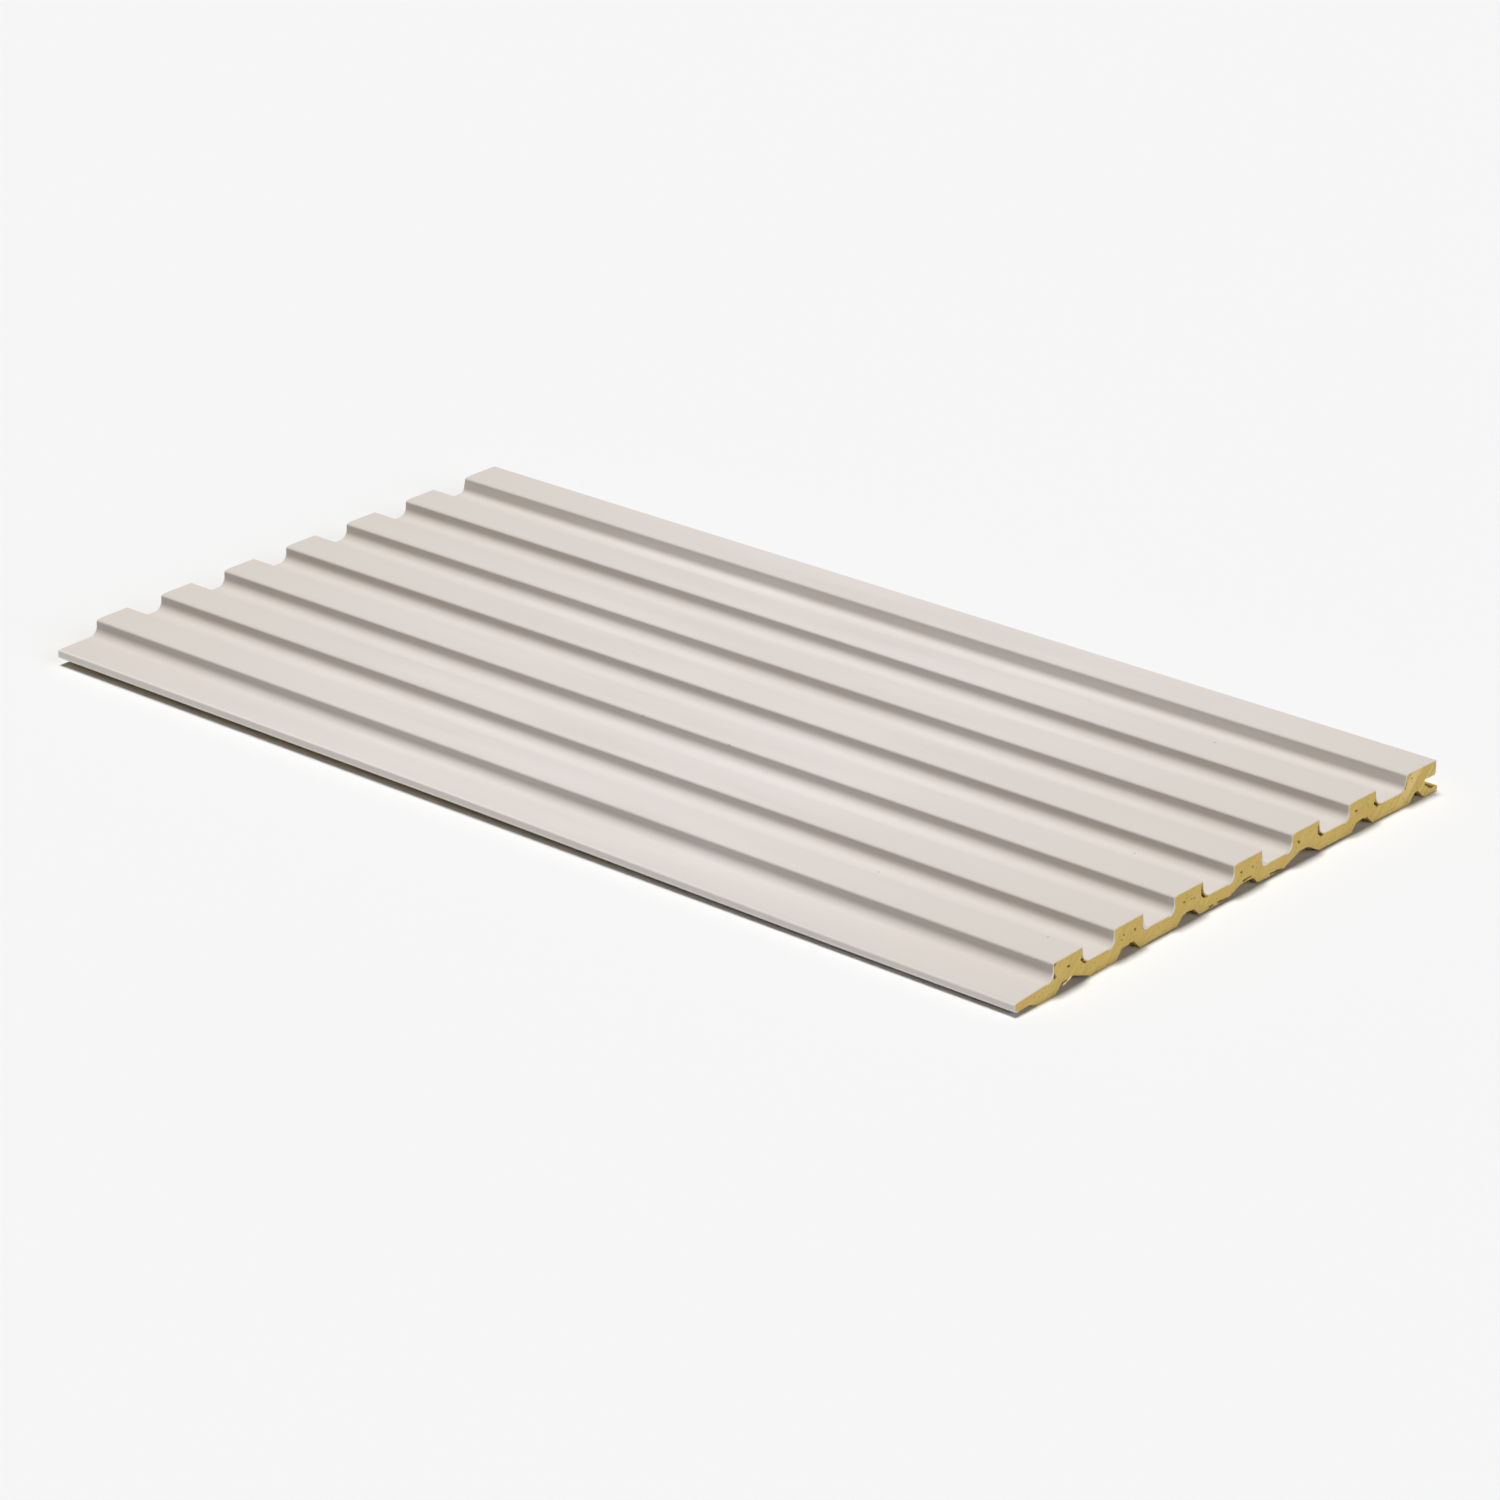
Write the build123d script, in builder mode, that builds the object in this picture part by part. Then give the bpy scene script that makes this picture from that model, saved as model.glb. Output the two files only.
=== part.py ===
from build123d import *

import os
from math import atan2, degrees

# Fluted wall panel: one extruded length with a tongue on one long edge and a groove on the other.
# It lies on its back. +X runs along the flutes, +Y across them from tongue to groove, +Z out of
# the face. The origin is the middle of the back plane. Sizes are in millimetres.

# The panel as a whole
panel_length = 300.0
cover_width = 150.0  # wall width that one panel takes up once its tongue is in the next groove
web_thickness = 4.1  # floor of the flutes above the back plane

# Ribs on the face
rib_count = 7
rib_height = 3.9
rib_top_width = 10.2
flank_lean = 0.5  # how far each flank runs out from the rib's top to its foot
shoulder_radius = 0.6
root_radius = 2.3  # soft, where the film is drawn over the corner

# Rib along the groove edge: wider, with a flatter flank towards the flutes
edge_rib_width = 12.1  # at its foot
edge_flank_lean = 1.0
edge_root_radius = 1.6

# Recesses in the back, one behind each rib
recess_depth = 2.3
recess_mouth_width = 8.6
recess_roof_width = 4.2
edge_recess_roof_width = 1.2  # behind the edge rib, where the groove needs the room
edge_recess_setback = 2.2  # from the edge rib's foot to the mouth of the recess behind it
recess_roof_radius = 0.8
back_edge_radius = 0.7

# Joint between two panels: the tongue of one reaches in under the edge rib of the other
tongue_engagement = 3.2
nose_thickness = 1.6  # upright front of the tongue
nose_run = 1.2  # bevel under the nose, across the panel
nose_radius = 0.4
nose_edge_radius = 0.2  # lower edge of the upright front
lip_thickness = 1.4  # lower lip of the groove, which the tongue rests on
lip_reach = 0.8  # how far the lower lip stands out past the edge rib
lip_radius = 0.25
mouth_radius = 0.9  # rounded corner over the groove, which leads the tongue in
joint_clearance = 0.2  # above and below the tongue
joint_end_gap = 0.9  # in front of the tongue's nose
undercut_gap = 1.0  # between the lower lip's edge and the end of the space it lies in
undercut_run = 2.4  # slope from the tongue's underside down to the back plane

# Heights closer than this count as one level when corners are picked
level_tolerance = 0.001

# Sizes and places worked out from those above
rib_pitch = cover_width / rib_count
rib_foot_width = rib_top_width + 2 * flank_lean
flank_angle = degrees(atan2(rib_height, flank_lean))
edge_flank_angle = degrees(atan2(rib_height, edge_flank_lean))
overall_width = cover_width + tongue_engagement + lip_reach
tongue_tip = -overall_width / 2
lip_tip = overall_width / 2
edge_face = lip_tip - lip_reach
edge_rib_start = edge_face - edge_rib_width
inner_rib_starts = [edge_rib_start - rib_pitch * step for step in range(1, rib_count)]
inner_rib_centres = [start + rib_foot_width / 2 for start in inner_rib_starts]

recess_run = (recess_mouth_width - recess_roof_width) / 2
recess_angle = degrees(atan2(recess_depth, recess_run))
edge_recess_start = edge_rib_start + edge_recess_setback
edge_recess_width = edge_recess_roof_width + 2 * recess_run

tongue_underside = lip_thickness + joint_clearance
nose_rise = web_thickness - tongue_underside - nose_thickness
undercut_length = tongue_engagement + lip_reach + undercut_gap
groove_roof = web_thickness + joint_clearance
groove_root = edge_face - tongue_engagement - joint_end_gap
groove_floor_end = edge_face - tongue_engagement + nose_run
groove_root_floor = lip_thickness + (groove_floor_end - groove_root) * nose_rise / nose_run

# Alignments of a profile that stands on a line: centred on it, or starting from its -Y end
STANDING = (Align.CENTER, Align.MIN)
STARTING = (Align.MIN, Align.MIN)

# Rib inside the panel: both flanks lean
with BuildSketch() as inner_rib:
    Trapezoid(rib_foot_width, rib_height, flank_angle, align=STANDING)
    fillet(inner_rib.vertices().group_by(Axis.Y)[-1], shoulder_radius)

# Rib along the +Y edge: its outer flank is upright, and the groove is cut in under it
with BuildSketch() as edge_rib:
    Trapezoid(edge_rib_width, rib_height, edge_flank_angle, 90, align=STARTING)
    fillet(edge_rib.vertices().group_by(Axis.Y)[-1], shoulder_radius)

# Recess behind an inner rib
with BuildSketch() as inner_recess:
    Trapezoid(recess_mouth_width, recess_depth, recess_angle, align=STANDING)
    fillet(inner_recess.vertices().group_by(Axis.Y)[-1], recess_roof_radius)

# Recess behind the edge rib
with BuildSketch() as edge_recess:
    Trapezoid(edge_recess_width, recess_depth, recess_angle, align=STARTING)
    fillet(edge_recess.vertices().group_by(Axis.Y)[-1], recess_roof_radius)

# Space under the tongue: bevelled nose, flat underside, slope down to the back plane
with BuildSketch() as undercut:
    with BuildLine():
        Polyline(
            (tongue_tip, 0),
            (tongue_tip, tongue_underside + nose_rise),
            (tongue_tip + nose_run, tongue_underside),
            (tongue_tip + undercut_length, tongue_underside),
            (tongue_tip + undercut_length + undercut_run, 0),
            close=True,
        )
    make_face()

# Groove: the tongue's own outline with its clearances, open towards +Y
with BuildSketch() as groove:
    with BuildLine():
        Polyline(
            (lip_tip, groove_roof),
            (groove_root, groove_roof),
            (groove_root, groove_root_floor),
            (groove_floor_end, lip_thickness),
            (lip_tip, lip_thickness),
            close=True,
        )
    make_face()


def corners_at(height):
    """Corners of the section at one height above the back plane, from -Y to +Y."""
    low, high = height - level_tolerance, height + level_tolerance
    return section.vertices().filter_by_position(Axis.Y, low, high).sort_by(Axis.X)


with BuildPart() as fluted_panel:
    with BuildSketch(Plane.YZ) as section:
        Rectangle(overall_width, web_thickness, align=STANDING)
        with Locations(*[(centre, web_thickness) for centre in inner_rib_centres]):
            add(inner_rib.sketch)
        with Locations((edge_rib_start, web_thickness)):
            add(edge_rib.sketch)
        with Locations(*[(centre, 0) for centre in inner_rib_centres]):
            add(inner_recess.sketch, mode=Mode.SUBTRACT)
        with Locations((edge_recess_start, 0)):
            add(edge_recess.sketch, mode=Mode.SUBTRACT)
        add(undercut.sketch, mode=Mode.SUBTRACT)
        add(groove.sketch, mode=Mode.SUBTRACT)

        # Roots of the flanks, the mouth of the groove, the nose, the lower lip and the back
        fillet(corners_at(web_thickness)[-1], edge_root_radius)
        fillet(corners_at(web_thickness)[1:-1], root_radius)
        fillet(corners_at(groove_roof)[-1], mouth_radius)
        fillet(section.vertices().group_by(Axis.X)[0].sort_by(Axis.Y)[0], nose_edge_radius)
        fillet(section.vertices().group_by(Axis.X)[0].sort_by(Axis.Y)[-1], nose_radius)
        fillet(corners_at(lip_thickness)[-1], lip_radius)
        fillet(corners_at(0), back_edge_radius)
    extrude(amount=panel_length / 2, both=True)

fluted_panel.part.label = "fluted_panel"
os.makedirs("parts", exist_ok=True)
export_step(fluted_panel.part, "parts/fluted_panel.step")
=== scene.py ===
import random
from math import atan2, cos, hypot, pi, radians, sin, tan

import bmesh
import bpy
from bpy.props import (
    FloatProperty,
    FloatVectorProperty,
    IntProperty,
    PointerProperty,
)
from mathutils import Matrix, Vector, noise


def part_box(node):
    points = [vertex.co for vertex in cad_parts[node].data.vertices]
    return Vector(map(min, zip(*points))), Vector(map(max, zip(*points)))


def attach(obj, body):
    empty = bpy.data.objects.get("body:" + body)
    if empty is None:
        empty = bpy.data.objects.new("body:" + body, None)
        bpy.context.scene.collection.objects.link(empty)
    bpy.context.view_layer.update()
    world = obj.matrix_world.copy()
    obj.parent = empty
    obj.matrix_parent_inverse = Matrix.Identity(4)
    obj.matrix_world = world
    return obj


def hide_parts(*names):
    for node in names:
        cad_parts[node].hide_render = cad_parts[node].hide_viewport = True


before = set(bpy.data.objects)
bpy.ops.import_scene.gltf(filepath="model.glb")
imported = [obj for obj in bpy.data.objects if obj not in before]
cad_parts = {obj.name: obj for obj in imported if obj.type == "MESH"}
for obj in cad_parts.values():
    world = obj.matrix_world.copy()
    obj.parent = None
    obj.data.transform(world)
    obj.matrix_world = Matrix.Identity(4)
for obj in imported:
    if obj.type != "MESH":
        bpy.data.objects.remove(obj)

bl_info = {
    "name": "Fluted Wall Panel",
    "version": (1, 0, 0),
    "blender": (4, 5, 0),
    "location": "View3D > Sidebar > Wall Panel",
    "description": "Film, sawn core and studio for one length of fluted wall panel",
    "category": "Object",
}

# The panel lies on its back: +X along the flutes to the near sawn end, +Y from the tongue edge to
# the groove edge, +Z out of the face. Lengths are in metres, and most are written as millimetres.
MM = 0.001
X, Y, Z = 0, 1, 2

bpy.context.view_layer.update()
PANEL_NODE = "fluted_panel"
PANEL_LOW, PANEL_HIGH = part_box(PANEL_NODE)
NEAR_END = PANEL_HIGH.x
TONGUE_TIP = PANEL_LOW.y
LIP_TIP = PANEL_HIGH.y
RIB_TOP = PANEL_HIGH.z

# Parts of the section that the film and the saw marks are set by
FLUTE_FLOOR = 4.1 * MM
RIB_HEIGHT = RIB_TOP - FLUTE_FLOOR
GROOVE_START = 70.0 * MM
GROOVE_ROOF = 4.3 * MM
RIB_COUNT = 7
COVER_WIDTH = 150.0 * MM
RIB_PITCH = COVER_WIDTH / RIB_COUNT
RIB_TOP_HALF = 5.1 * MM
FLANK_LEAN = 0.5 * MM
RIB_FOOT = RIB_TOP_HALF + FLANK_LEAN
FLANK_ANGLE = atan2(RIB_HEIGHT, FLANK_LEAN)
ROOT_RADIUS = 2.3 * MM
ROOT_SETBACK = ROOT_RADIUS * tan(FLANK_ANGLE / 2)
LIP_REACH = 0.8 * MM  # how far the lower lip stands out past the edge rib
EDGE_FACE = LIP_TIP - LIP_REACH
EDGE_RIB_WIDTH = 12.1 * MM
EDGE_RIB_START = EDGE_FACE - EDGE_RIB_WIDTH
EDGE_FLANK_LEAN = 1.0 * MM
EDGE_RIB_SIDES = (EDGE_RIB_START + EDGE_FLANK_LEAN, EDGE_FACE)
SHOULDER_REACH = 0.54 * MM  # takes in the rounding of a shoulder
SHOULDER_SHARE = 0.6  # rounding left on the shoulders, where the film is drawn tight
SHOULDER_SHIFT = 0.15 * MM  # how far the shoulders towards the tongue edge stand out
SHOULDER_DROP = 0.3 * MM  # how far the same shoulders fall away below the rib's top
SHOULDER_RUN = 1.6 * MM
SHOULDER_ROWS = [SHOULDER_RUN * share for share in (0.5, 0.75, 1.0)]
NOSE_RUN = 1.2 * MM
NOSE_EDGE = (TONGUE_TIP, 2.5 * MM)
NOSE_ROUNDING = 0.3 * MM
NOSE_SAG = 0.35 * MM  # the film rounds the nose's lower edge a little lower than the bare core

# Closeness at which points, levels and directions count as the same
MERGE_DISTANCE = 0.001 * MM
LEVEL_TOLERANCE = 0.01 * MM
FLAT_ANGLE = radians(0.4)
SHARP_ANGLE = radians(32)
FACING = 0.99
SAME_FACING = 0.99999
ROOT_TOLERANCE = 0.1 * MM

# Roots of the ribs, as the rib's number from the tongue and its side. The film is drawn straight
# over each corner of the core: most corners are filled with glue, and the gaps are left empty.
SOFT_ROOTS = [(rib, side) for rib in range(RIB_COUNT - 1) for side in (-1, 1)]
GAP_ROOTS = ((0, 1), (2, 1), (4, 1), (5, 1))
GLUED_ROOTS = [root for root in SOFT_ROOTS if root not in GAP_ROOTS]
# Painted shade on the core inside the empty gaps: how strongly the rounding's share is darkened
GAP_PAINTED_SHADE = 2.5


class PanelFilmSettings(bpy.types.PropertyGroup):
    """The decorative film wrapped over the face, the tongue and the edge rib."""

    thickness: FloatProperty(
        name="Thickness",
        description="Thickness of the film, seen as a line where it is sawn",
        default=0.24 * MM,
        min=0.05 * MM,
        max=0.8 * MM,
        unit="LENGTH",
        precision=5,
    )
    bead: FloatProperty(
        name="Glue bead",
        description="Extra depth of film and glue at the roots of the ribs",
        default=0.62 * MM,
        min=0.0,
        max=0.8 * MM,
        unit="LENGTH",
        precision=5,
    )
    colour: FloatVectorProperty(
        name="Colour",
        description="Main warm grey of the film",
        default=(0.744, 0.693, 0.660),
        min=0.0,
        max=1.0,
        subtype="COLOR",
    )
    shade: FloatVectorProperty(
        name="Mottle",
        description="Deeper grey of the faint streaks along the flutes",
        default=(0.704, 0.651, 0.612),
        min=0.0,
        max=1.0,
        subtype="COLOR",
    )
    # Painted shade: the face is painted darker towards both sawn ends
    painted_end_shade: FloatVectorProperty(
        name="Dull ends",
        description="Duller grey that the face turns to near the sawn ends",
        default=(0.68, 0.625, 0.575),
        min=0.0,
        max=1.0,
        subtype="COLOR",
    )
    # Partly the film's pale body, partly a painted highlight along the cut edge
    cut_colour_and_highlight: FloatVectorProperty(
        name="Cut edge",
        description="Pale body of the film where the saw has cut it",
        default=(0.92, 0.89, 0.85),
        min=0.0,
        max=1.0,
        subtype="COLOR",
    )
    # Painted highlight along the lower edge of the nose
    nose_edge_highlight: FloatVectorProperty(
        name="Rubbed edge",
        description="Palest line, along the lower edge of the nose",
        default=(0.97, 0.93, 0.88),
        min=0.0,
        max=1.0,
        subtype="COLOR",
    )
    # Painted light: the film is painted paler along the tongue's nose
    nose_painted_light: FloatVectorProperty(
        name="Nose",
        description="Film rubbed paler along the nose of the tongue",
        default=(0.90, 0.84, 0.79),
        min=0.0,
        max=1.0,
        subtype="COLOR",
    )
    speck_colour: FloatVectorProperty(
        name="Dust",
        description="Specks of dust on the face",
        default=(0.36, 0.32, 0.28),
        min=0.0,
        max=1.0,
        subtype="COLOR",
    )


class PanelCoreSettings(bpy.types.PropertyGroup):
    """The bare composite seen on the sawn ends and the back."""

    colour: FloatVectorProperty(
        name="Sawn colour",
        description="Mustard of a freshly sawn end",
        default=(0.70, 0.508, 0.142),
        min=0.0,
        max=1.0,
        subtype="COLOR",
    )
    streak: FloatVectorProperty(
        name="Saw streak",
        description="Paler streaks that the saw leaves",
        default=(0.93, 0.73, 0.30),
        min=0.0,
        max=1.0,
        subtype="COLOR",
    )
    tint: FloatVectorProperty(
        name="Warm tint",
        description="Orange-pink patches in the composite",
        default=(0.76, 0.465, 0.175),
        min=0.0,
        max=1.0,
        subtype="COLOR",
    )
    # Painted shade: colour painted into the pores, the gaps under the film and the torn lower edges
    hollow_shade_colour: FloatVectorProperty(
        name="Pores",
        description="Inside of the open pores and gaps",
        default=(0.07, 0.038, 0.012),
        min=0.0,
        max=1.0,
        subtype="COLOR",
    )
    back_colour: FloatVectorProperty(
        name="Back",
        description="Skin of the extrusion on the back and in the groove",
        default=(0.52, 0.345, 0.055),
        min=0.0,
        max=1.0,
        subtype="COLOR",
    )
    burr_colour: FloatVectorProperty(
        name="Burr",
        description="Pale torn sliver left by the saw",
        default=(0.97, 0.80, 0.47),
        min=0.0,
        max=1.0,
        subtype="COLOR",
    )
    saw_depth: FloatProperty(
        name="Saw depth",
        description="How far the sawn core lies behind the film's cut edge",
        default=0.07 * MM,
        min=0.0,
        max=0.3 * MM,
        unit="LENGTH",
        precision=5,
    )
    tear_reach: FloatProperty(
        name="Tear reach",
        description="How far the torn lower edges run in from a sawn end",
        default=2.6 * MM,
        min=0.5 * MM,
        max=6.0 * MM,
        unit="LENGTH",
        precision=5,
    )
    pore_seed: IntProperty(
        name="Pore seed",
        description="Seed for the pores of the far end",
        default=11,
        min=0,
    )


class PanelStageSettings(bpy.types.PropertyGroup):
    """Floor, light and camera."""

    floor_colour: FloatVectorProperty(
        name="Floor",
        description="Pale studio floor",
        default=(0.885, 0.885, 0.885),
        min=0.0,
        max=1.0,
        subtype="COLOR",
    )
    softbox_strength: FloatProperty(
        name="Softbox",
        description="Light from the wide softbox overhead",
        default=2.88,
        min=0.0,
    )
    softbox_width: FloatProperty(
        name="Softbox width",
        description="Angle that the softbox takes up, seen from the panel",
        default=radians(20),
        min=radians(5),
        max=radians(170),
        subtype="ANGLE",
    )
    room_strength: FloatProperty(
        name="Room",
        description="Even light of the white room",
        default=0.05,
        min=0.0,
    )
    card_strength: FloatProperty(
        name="Card",
        description="Light thrown onto the near sawn end by a white card",
        default=0.77,
        min=0.0,
    )
    camera_lens: FloatProperty(
        name="Lens",
        description="Focal length on a 36 mm square sensor",
        default=127.7,
        min=10.0,
        unit="CAMERA",
    )


class PanelSettings(bpy.types.PropertyGroup):
    """All that can be changed before the panel is built."""

    film: PointerProperty(type=PanelFilmSettings)
    core: PointerProperty(type=PanelCoreSettings)
    stage: PointerProperty(type=PanelStageSettings)


def held(share):
    """A share kept between 0 and 1."""
    return min(max(share, 0.0), 1.0)


def rib_centres():
    """Middles of the ribs across the panel, from the tongue to the groove."""
    edge_rib = EDGE_RIB_START + RIB_FOOT
    return [edge_rib - RIB_PITCH * step for step in reversed(range(RIB_COUNT))]


def places_between(low, high, step):
    """Evenly spaced places strictly between two limits."""
    count = int((high - low) / step)
    return [low + step * (index + 0.5) for index in range(count)]


def slice_faces(shape, faces, axis, places):
    """Cuts the faces across one axis at each place, working outwards from the middle place."""
    if not faces or not places:
        return
    middle = len(places) // 2
    level = places[middle]
    normal = Vector((0, 0, 0))
    normal[axis] = 1
    parts = set(faces)
    for face in faces:
        parts.update(face.edges)
        parts.update(face.verts)
    cut = bmesh.ops.bisect_plane(
        shape, geom=list(parts), dist=MERGE_DISTANCE, plane_co=normal * level, plane_no=normal
    )
    pieces = [part for part in cut["geom"] if isinstance(part, bmesh.types.BMFace)]
    lower = [face for face in pieces if face.calc_center_median()[axis] < level]
    upper = [face for face in pieces if face.calc_center_median()[axis] >= level]
    slice_faces(shape, lower, axis, places[:middle])
    slice_faces(shape, upper, axis, places[middle + 1:])


def slice_shape(shape, axis, places):
    """Cuts the whole shape across one axis at each place."""
    slice_faces(shape, shape.faces[:], axis, sorted(places))


def tighten_shoulders(shape):
    """Sharpens the shoulders of the ribs; those towards the tongue edge fall away and stand out."""
    inner = rib_centres()[:-1]
    left = [*[rib - RIB_TOP_HALF for rib in inner], EDGE_RIB_SIDES[0]]
    right = [*[rib + RIB_TOP_HALF for rib in inner], EDGE_RIB_SIDES[1]]
    slice_shape(shape, Y, [side + row for side in left for row in SHOULDER_ROWS])
    for vert in shape.verts:
        below = RIB_TOP - vert.co.z
        for side in (*left, *right):
            beside = vert.co.y - side
            if below < SHOULDER_REACH and abs(beside) < SHOULDER_REACH:
                vert.co.y = side + beside * SHOULDER_SHARE
                vert.co.z = RIB_TOP - below * SHOULDER_SHARE
        for side in left:
            beside = vert.co.y - side
            if below < SHOULDER_REACH and -SHOULDER_REACH < beside < SHOULDER_RUN:
                out = held(1.0 - beside / SHOULDER_RUN)
                vert.co.y -= SHOULDER_SHIFT * out * out
                vert.co.z -= SHOULDER_DROP * out * out


def merged_panel():
    """Copy of the CAD panel, closed up, with each flat face in one piece."""
    shape = bmesh.new()
    shape.from_mesh(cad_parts[PANEL_NODE].data)
    bmesh.ops.remove_doubles(shape, verts=shape.verts, dist=MERGE_DISTANCE)
    bmesh.ops.dissolve_limit(
        shape, angle_limit=FLAT_ANGLE, verts=shape.verts, edges=shape.edges
    )
    for vert in shape.verts:
        if vert.co.y < NOSE_EDGE[0] + NOSE_ROUNDING and vert.co.z < NOSE_EDGE[1] + NOSE_ROUNDING:
            vert.co.z -= NOSE_SAG
    tighten_shoulders(shape)
    return shape


def row_places(rows):
    """Places near both sawn ends, given as distances in from them."""
    return [side * (NEAR_END - row) for side in (-1, 1) for row in rows]


def is_sawn(face):
    """Whether a face is part of a sawn end."""
    return abs(face.normal.x) > FACING


def is_filmed(face):
    """Whether a long face carries the film: the fluted face, the edge rib and the tongue's nose."""
    if is_sawn(face):
        return False
    middle = face.calc_center_median()
    if middle.y < TONGUE_TIP + NOSE_RUN:
        return True
    lowest = GROOVE_ROOF if middle.y > GROOVE_START else FLUTE_FLOOR
    return middle.z > lowest - LEVEL_TOLERANCE and face.normal.z > -FACING


def root_share(point, roots):
    """How far inside the rounding of one of the roots a point lies: 1 in its middle, 0 outside."""
    for rib, side in roots:
        centre = rib_centres()[rib] + side * (RIB_FOOT + ROOT_SETBACK)
        inwards = (centre - point.y) * side
        down = FLUTE_FLOOR + ROOT_RADIUS - point.z
        angle = atan2(inwards, down)
        on_rounding = abs(hypot(inwards, down) - ROOT_RADIUS) < ROOT_TOLERANCE
        if on_rounding and 0 < angle < FLANK_ANGLE:
            return sin(pi * angle / FLANK_ANGLE)
    return 0.0


def inward_moves(faces, depth, roots, bead):
    """How each point of the filmed faces moves in by one depth, and further at some roots."""
    moves = {}
    for vert in {vert for face in faces for vert in face.verts}:
        normals = []
        for face in vert.link_faces:
            known = any(face.normal.dot(other) > SAME_FACING for other in normals)
            if face in faces and not known:
                normals.append(face.normal.copy())
        total = sum(normals, Vector((0, 0, 0)))
        reach = depth + bead * root_share(vert.co, roots)
        moves[vert] = -total * reach * len(normals) / total.length_squared
    return moves


def piece_from(shape, name, slot, *materials):
    """Makes the finished object that stands for the panel, in its place in the frame."""
    for edge in shape.edges:
        edge.smooth = edge.calc_face_angle(pi) < SHARP_ANGLE
    for face in shape.faces:
        face.smooth = True
    mesh = bpy.data.meshes.new(name)
    shape.to_mesh(mesh)
    shape.free()
    for material in materials:
        mesh.materials.append(material)
    piece = bpy.data.objects.new(name, mesh)
    bpy.context.scene.collection.objects.link(piece)
    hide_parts(PANEL_NODE)
    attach(piece, "root")
    return piece


# Pores and gaps in the near sawn end: the line that each follows (from y, z to y, z), its half
# width and its depth, in millimetres
NEAR_HOLLOWS = (
    (-58.9, 5.25, -58.4, 5.10, 0.12, 0.8),
    (-39.2, 5.30, -38.9, 5.20, 0.08, 0.4),
    (-35.2, 5.20, -34.9, 5.05, 0.12, 0.7),
    (-39.8, 4.30, -39.6, 4.30, 0.08, 0.3),
    (-17.8, 5.25, -17.3, 5.25, 0.09, 0.5),
    (-15.0, 5.20, -14.8, 5.15, 0.08, 0.3),
    (-14.1, 5.10, -13.9, 5.05, 0.08, 0.3),
    (3.0, 5.25, 3.2, 5.10, 0.12, 0.7),
    (7.0, 5.10, 7.4, 5.00, 0.08, 0.3),
    (24.2, 5.15, 24.6, 5.00, 0.13, 0.8),
    (45.8, 5.30, 46.3, 5.20, 0.12, 0.7),
    (50.4, 5.20, 50.5, 5.20, 0.08, 0.3),
    (67.0, 6.30, 67.3, 6.25, 0.08, 0.35),
    (-63.6, 4.85, -63.4, 4.40, 0.22, 1.2),
    (-63.9, 7.35, -63.3, 7.55, 0.18, 0.8),
    (64.8, 5.60, 64.5, 4.70, 0.24, 1.0),
    (13.9, 0.95, 18.1, 0.65, 0.10, 0.8),
    (-5.5, 0.90, -1.9, 0.60, 0.09, 0.6),
    (3.7, 2.75, 6.7, 2.95, 0.09, 0.5),
    (-8.5, 0.80, -7.0, 0.82, 0.08, 0.4),
    (-54.0, 5.10, -52.9, 4.00, 0.17, 1.2),
    (-11.3, 6.80, -11.1, 5.00, 0.09, 0.8),
    (-11.1, 5.00, -10.3, 4.10, 0.20, 1.4),
    (31.6, 6.40, 31.8, 4.90, 0.08, 0.7),
    (31.9, 4.80, 32.9, 3.95, 0.20, 1.4),
    (53.2, 4.75, 54.1, 4.05, 0.20, 1.4),
    (-32.3, 4.70, -31.9, 4.30, 0.10, 0.6),
    (10.6, 4.80, 11.0, 4.30, 0.10, 0.6),
)

# Material torn away under the near sawn end: each line (from y, z to y, z) is the new lower edge
NEAR_TEARS = (
    (-57.1, 2.45, -51.5, 0.30),
    (-2.1, 0.45, 3.1, 2.40),
    (18.7, 0.55, 24.9, 2.75),
    (24.9, 2.75, 27.7, 2.75),
    (27.7, 2.75, 32.7, 0.15),
    (-36.9, 2.65, -35.5, 2.40),
    (-16.9, 2.60, -14.3, 2.40),
    (46.5, 2.30, 49.1, 2.62),
)
FAR_TEARS = (
    (-59.9, 2.50, -57.5, 2.40),
    (-14.3, 2.45, -10.1, 0.25),
    (1.5, 0.40, 4.7, 2.55),
    (45.5, 2.35, 49.7, 2.60),
)

# Pores of the far end, in millimetres
FAR_PORES_PER_RIB = 2
FAR_PORE_SPREAD = 3.2
FAR_PORE_HEIGHTS = (4.6, 6.2)
FAR_PORE_LENGTHS = (0.1, 0.5)
FAR_PORE_FALL = 0.1
FAR_PORE_WIDTHS = (0.11, 0.17)
FAR_PORE_DEPTHS = (0.4, 0.9)

# Lower edge of a sawn end that the saw has broken off: most in the middle of the panel
ARRIS_LOSS = 0.5
ARRIS_MIDDLE = 12.0
ARRIS_HALF_WIDTH = 56.0


def far_hollows(seed):
    """Pores of the far sawn end, a few in each rib, at seeded places."""
    pick = random.Random(seed)
    hollows = []
    for centre in rib_centres():
        for _ in range(FAR_PORES_PER_RIB):
            across = centre / MM + pick.uniform(-FAR_PORE_SPREAD, FAR_PORE_SPREAD)
            height = pick.uniform(*FAR_PORE_HEIGHTS)
            length = pick.uniform(*FAR_PORE_LENGTHS)
            width = pick.uniform(*FAR_PORE_WIDTHS)
            depth = pick.uniform(*FAR_PORE_DEPTHS)
            end = (across + length, height - FAR_PORE_FALL)
            hollows.append((across, height, *end, width, depth))
    return hollows


def off_line(y, z, line):
    """Distance from a point to a line in the plane of the section, in the line's own unit."""
    start = Vector((line[0], line[1]))
    run = Vector((line[2], line[3])) - start
    point = Vector((y, z)) - start
    along = held(point.dot(run) / run.length_squared)
    return (point - run * along).length


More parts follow.
